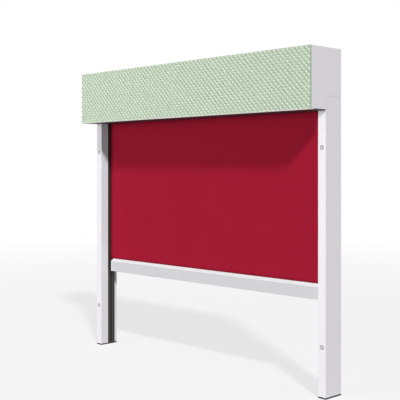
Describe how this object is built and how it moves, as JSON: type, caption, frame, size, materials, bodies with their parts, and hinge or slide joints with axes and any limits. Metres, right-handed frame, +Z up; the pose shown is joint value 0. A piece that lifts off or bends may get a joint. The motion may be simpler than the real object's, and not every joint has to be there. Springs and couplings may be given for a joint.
{
  "type": "window awning",
  "caption": "Vertical drop awning with a roller cassette for plastering in, zip guide rails, a screen and a bottom bar.",
  "frame": {"origin": "middle of the cassette's back face, which lies on the wall", "axes": "X along the wall, +Y out of the back into the wall, +Z up"},
  "size_m": [0.905, 0.121, 0.8499],
  "materials": {
    "grey_coat": "satin powder coat",
    "bar_coat": "satin powder coat",
    "dark_coat": "satin powder coat",
    "mill_aluminium": "mill finish",
    "cream_aluminium": "satin coat",
    "render_board": "embossed, matt",
    "black_plastic": "matt",
    "cap_plastic": "satin",
    "pale_plastic": "matt",
    "rubber": "matt",
    "steel": "zinc plated",
    "galvanised_steel": "galvanised",
    "motor_paint": "satin",
    "red_fabric": "woven screen",
    "zip_tape": "woven tape with teeth"
  },
  "bodies": {
    "cassette": {"cassette_top": "mill_aluminium", "cassette_back": "mill_aluminium", "cassette_front": "cream_aluminium", "render_board": "render_board", "end_plate_left": "grey_coat", "end_plate_right": "grey_coat", "cable_grommet": "rubber", "motor_tube": "motor_paint", "motor_head": "black_plastic", "idler_pin": "steel", "motor_bracket": "galvanised_steel", "idler_bracket": "galvanised_steel", "bracket_screws": "steel", "rail_left": "grey_coat", "rail_right": "grey_coat", "zip_guide_left": "black_plastic", "zip_guide_right": "black_plastic", "rail_foot_left": "black_plastic", "rail_foot_right": "black_plastic", "rail_inlet_left": "black_plastic", "rail_inlet_right": "black_plastic", "inlet_screws": "steel", "rail_cover_caps": "cap_plastic", "cover_bearing_left": "black_plastic", "cover_bearing_right": "black_plastic"},
    "bar": {"fabric_screen": "red_fabric", "zip_strip_left": "zip_tape", "zip_strip_right": "zip_tape", "bottom_bar": "bar_coat", "bar_keder_rod": "pale_plastic", "bar_weight": "galvanised_steel", "bar_end_cap_left": "cap_plastic", "bar_end_cap_right": "cap_plastic", "bar_slider_left": "black_plastic", "bar_slider_right": "black_plastic", "bar_cap_screws": "steel"},
    "roller": {"roller_tube": "galvanised_steel", "crown_ring": "black_plastic", "drive_wheel": "black_plastic", "output_shaft": "steel", "idler_plug": "black_plastic", "idler_bearing": "steel", "roller_keder_rod": "pale_plastic", "fabric_roll": "red_fabric"},
    "cover": {"service_cover": "dark_coat", "cover_pins": "steel"}
  },
  "joints": [
    {"name": "bar_slide", "type": "slide", "parent": "cassette", "child": "bar", "axis": [0, 0, 1], "range_m": [-0.2275, 0.4635], "deforming": ["fabric_screen", "zip_strip_left", "zip_strip_right"]},
    {"name": "roller_turn", "type": "hinge", "parent": "cassette", "child": "roller", "pos_m": [0, -0.054, 0.03375], "axis": [1, 0, 0], "range_deg": [-420, 840]},
    {"name": "cover_hinge", "type": "hinge", "parent": "cassette", "child": "cover", "pos_m": [0, -0.1045, -0.0715], "axis": [-1, 0, 0], "range_deg": [0, 85]}
  ],
  "couplings": [
    {"joint": "roller_turn", "follows": "bar_slide", "rad_per_m": 31.25}
  ]
}
